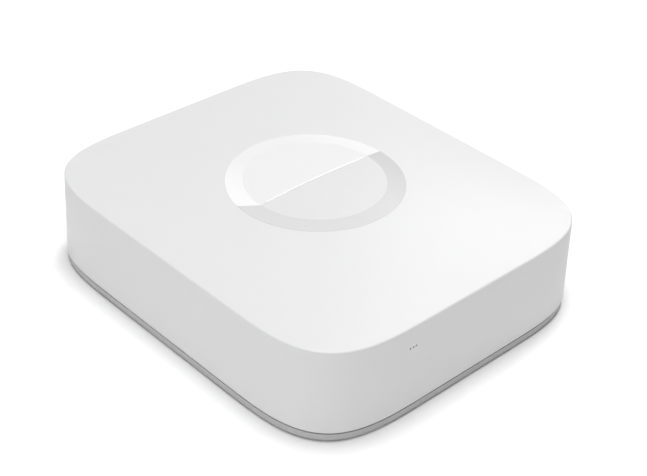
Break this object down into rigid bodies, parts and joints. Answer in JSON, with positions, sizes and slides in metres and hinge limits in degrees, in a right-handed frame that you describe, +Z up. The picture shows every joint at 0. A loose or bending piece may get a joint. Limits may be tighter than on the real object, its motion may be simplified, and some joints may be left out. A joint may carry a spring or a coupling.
{
  "type": "smart home hub",
  "caption": "Low rounded-square white hub with a crowned top, an inlaid two-tone ring badge, a grey sliding battery cover and network, USB and power sockets on the back.",
  "frame": {"origin": "on the table plane that the rubber feet rest on, under the middle of the outline", "axes": "+Z up, -Y towards the front with the indicator holes, +Y towards the back with the sockets, +X to the right seen from the front"},
  "size_m": [0.1076, 0.1244, 0.0329],
  "materials": {
    "shell_white": "fine satin moulded plastic, white",
    "ring_bright": "glossy white inlay",
    "ring_shaded": "satin light grey inlay",
    "badge_disc": "smooth satin white inlay",
    "badge_line": "glossy white raised line",
    "cover_grey": "fine matt moulded plastic, grey",
    "rubber": "soft matt rubber",
    "foam": "closed cell foam",
    "chassis_plastic": "matt moulded plastic, light grey",
    "cell_wrap": "plain printed film over a metal can",
    "spring_steel": "nickel plated strip and wire",
    "board_laminate": "green solder mask on laminate",
    "shield_steel": "tin plated sheet",
    "black_plastic": "matt moulded plastic, black",
    "contact_metal": "gold plated",
    "chip_resin": "moulded resin",
    "aluminium_plain": "plain drawn aluminium",
    "clear_plastic": "clear moulded plastic",
    "light_emitter": "clear resin over an emitter",
    "button_red": "satin moulded plastic, red",
    "coax_jacket": "thin smooth jacket",
    "screw_steel": "zinc plated"
  },
  "bodies": {
    "housing": {"top_shell": "shell_white", "badge_ring_back": "ring_bright", "badge_ring_front": "ring_shaded", "badge_disc": "badge_disc", "badge_line": "badge_line", "chassis": "chassis_plastic", "contact_positive": "spring_steel", "contact_link_1": "spring_steel", "contact_link_2": "spring_steel", "contact_link_3": "spring_steel", "contact_negative": "spring_steel", "main_board": "board_laminate", "processor": "chip_resin", "thermal_pad": "rubber", "heat_spreader": "aluminium_plain", "memory_chip": "chip_resin", "flash_chip": "chip_resin", "ethernet_magnetics": "chip_resin", "power_inductor": "chip_resin", "clock_crystal": "shield_steel", "capacitor_1": "aluminium_plain", "capacitor_2": "aluminium_plain", "radio_shield_left": "shield_steel", "radio_shield_right": "shield_steel", "antenna_left": "contact_metal", "antenna_right": "contact_metal", "coax_left": "coax_jacket", "coax_right": "coax_jacket", "ethernet_shield": "shield_steel", "ethernet_socket": "black_plastic", "ethernet_contacts": "contact_metal", "usb_shield": "shield_steel", "usb_tongue_lower": "black_plastic", "usb_tongue_upper": "black_plastic", "power_socket": "black_plastic", "power_pin": "contact_metal", "reset_switch": "black_plastic", "status_led": "light_emitter", "light_pipe": "clear_plastic", "battery_cell_1": "cell_wrap", "chassis_screw_1": "screw_steel", "board_screw_1": "screw_steel", "battery_cell_2": "cell_wrap", "chassis_screw_2": "screw_steel", "board_screw_2": "screw_steel", "battery_cell_3": "cell_wrap", "chassis_screw_3": "screw_steel", "board_screw_3": "screw_steel", "battery_cell_4": "cell_wrap", "chassis_screw_4": "screw_steel", "board_screw_4": "screw_steel", "usb_contacts_lower": "contact_metal", "usb_contacts_upper": "contact_metal"},
    "battery_cover": {"base_cover": "cover_grey", "battery_pad": "foam", "rubber_foot_1": "rubber", "rubber_foot_2": "rubber", "rubber_foot_3": "rubber", "rubber_foot_4": "rubber"},
    "reset_key": {"reset_button": "button_red"}
  },
  "joints": [
    {"name": "base_cover_slide", "type": "slide", "parent": "housing", "child": "battery_cover", "axis": [0, -1, 0], "range_m": [0, 0.012]},
    {"name": "reset_button_press", "type": "slide", "parent": "housing", "child": "reset_key", "axis": [0, -1, 0], "range_m": [0, 0.0005], "stiffness_N_per_m": 800, "springref_m": -0.0006}
  ]
}
